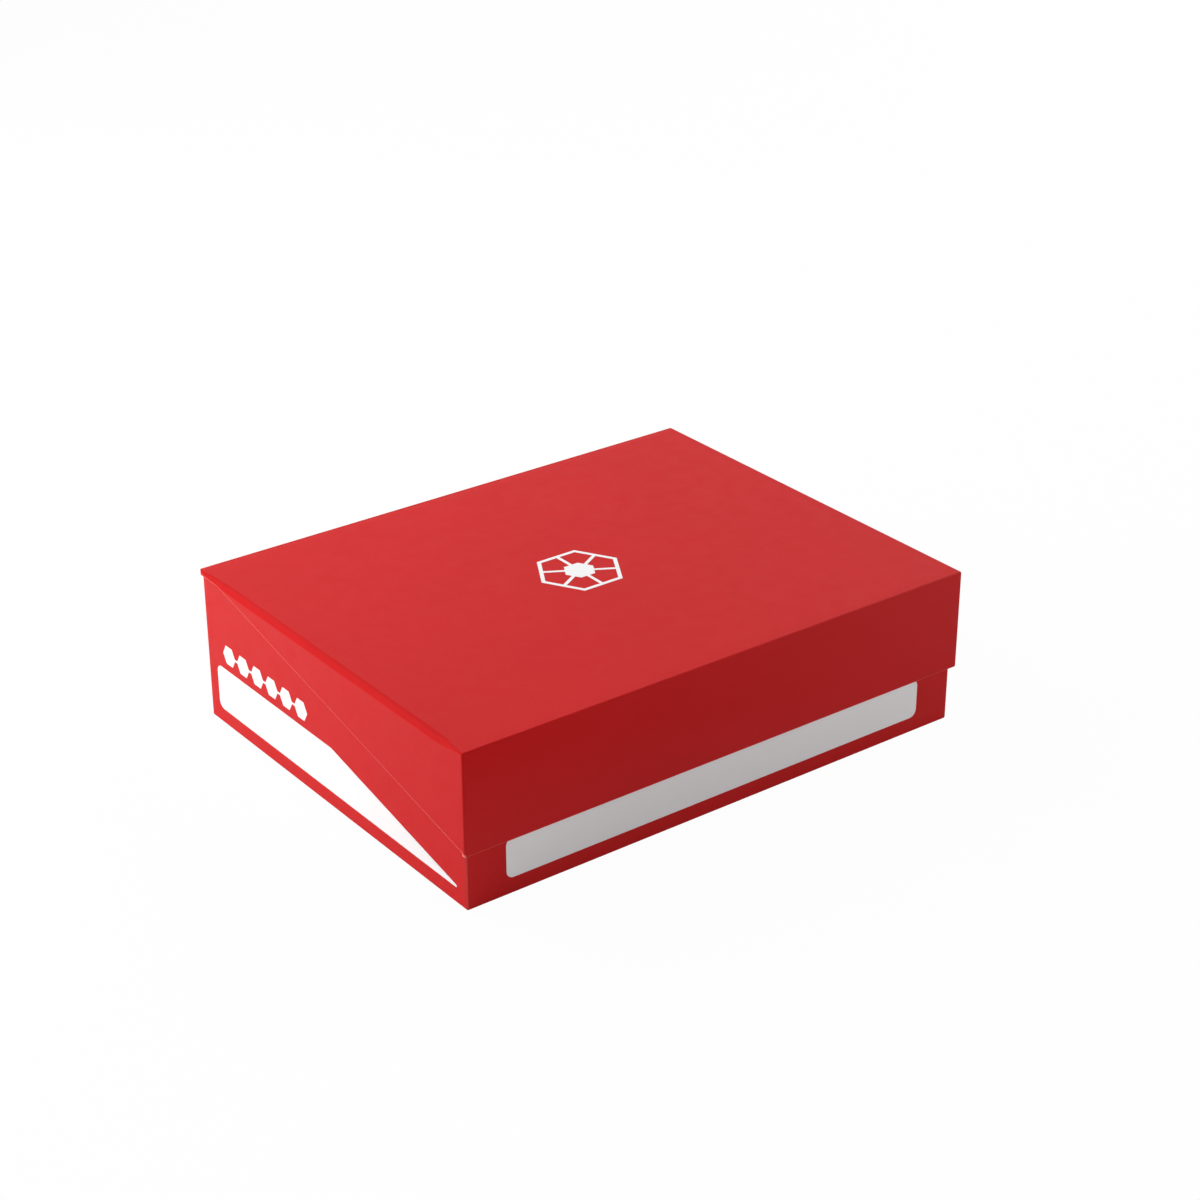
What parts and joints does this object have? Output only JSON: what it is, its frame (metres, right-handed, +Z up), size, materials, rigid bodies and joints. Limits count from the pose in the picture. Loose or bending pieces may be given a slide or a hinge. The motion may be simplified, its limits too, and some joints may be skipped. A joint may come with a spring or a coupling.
{
  "type": "board game box",
  "caption": "Flat wrapped-board storage box for game cards and tokens, with a hinged flip lid, diagonal side seams, label panels and lift-out compartment trays.",
  "frame": {"origin": "centre of the underside", "axes": "+X along the long side, to the right seen from the front; +Y to the rear, where the lid's hinge is; +Z up"},
  "size_m": [0.22, 0.17, 0.0611],
  "materials": {
    "cover": "satin",
    "greyboard": "matte",
    "lining": "matte",
    "label": "matte",
    "mark": "satin",
    "keeper_steel": "satin",
    "magnet_nickel": "polished",
    "tray": "satin",
    "divider": "satin"
  },
  "bodies": {
    "base": {"base_cover": "cover", "base_bottom_board": "greyboard", "base_front_board": "greyboard", "base_rear_board": "greyboard", "base_left_board": "greyboard", "base_right_board": "greyboard", "base_lining": "lining", "front_label": "label", "left_label": "label", "right_label": "label", "left_mark": "mark", "right_mark": "mark", "keeper_plate_left": "keeper_steel", "keeper_plate_right": "keeper_steel", "tray_left": "tray", "tray_right": "tray", "divider_left_outer": "divider", "divider_left_inner": "divider", "divider_right_inner": "divider", "divider_right_outer": "divider", "hinge_cover": "cover", "hinge_lining": "lining"},
    "lid": {"lid_cover": "cover", "lid_top_board": "greyboard", "lid_front_board": "greyboard", "lid_left_board": "greyboard", "lid_right_board": "greyboard", "lid_lining": "lining", "magnet_left": "magnet_nickel", "magnet_right": "magnet_nickel", "lid_mark": "mark"}
  },
  "joints": [
    {"name": "lid_hinge", "type": "hinge", "parent": "base", "child": "lid", "pos_m": [0, 0.085, 0.0587], "axis": [-1, 0, 0], "range_deg": [0, 199], "deforming": ["hinge_cover", "hinge_lining"]}
  ]
}
